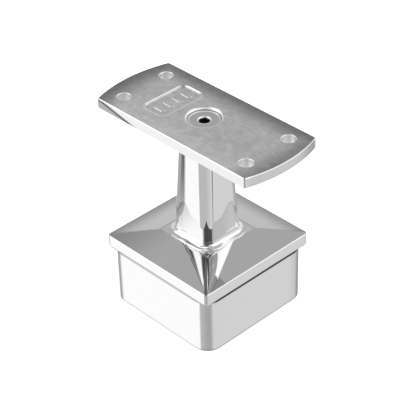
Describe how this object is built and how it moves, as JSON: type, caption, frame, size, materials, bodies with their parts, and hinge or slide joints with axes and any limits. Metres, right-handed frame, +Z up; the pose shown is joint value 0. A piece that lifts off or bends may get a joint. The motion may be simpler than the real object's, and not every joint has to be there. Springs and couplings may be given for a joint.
{
  "type": "handrail post top saddle",
  "caption": "Square post cap with a pyramid roof, a tapered neck and a flat saddle plate that carries a handrail.",
  "frame": {"origin": "centre of the bottom rim of the cap's skirt, in the plane that the part stands on", "axes": "+X along the saddle plate and the handrail, +Z up the post"},
  "size_m": [0.091, 0.06, 0.0897],
  "materials": {
    "polished_casting": "mirror-polished cast stainless steel",
    "brushed_plate": "top brushed along its length, edges polished",
    "turned_screw": "plain machined stainless steel"
  },
  "bodies": {
    "root": {"post_cap": "polished_casting", "saddle_plate": "brushed_plate", "saddle_screw": "turned_screw"}
  },
  "joints": []
}
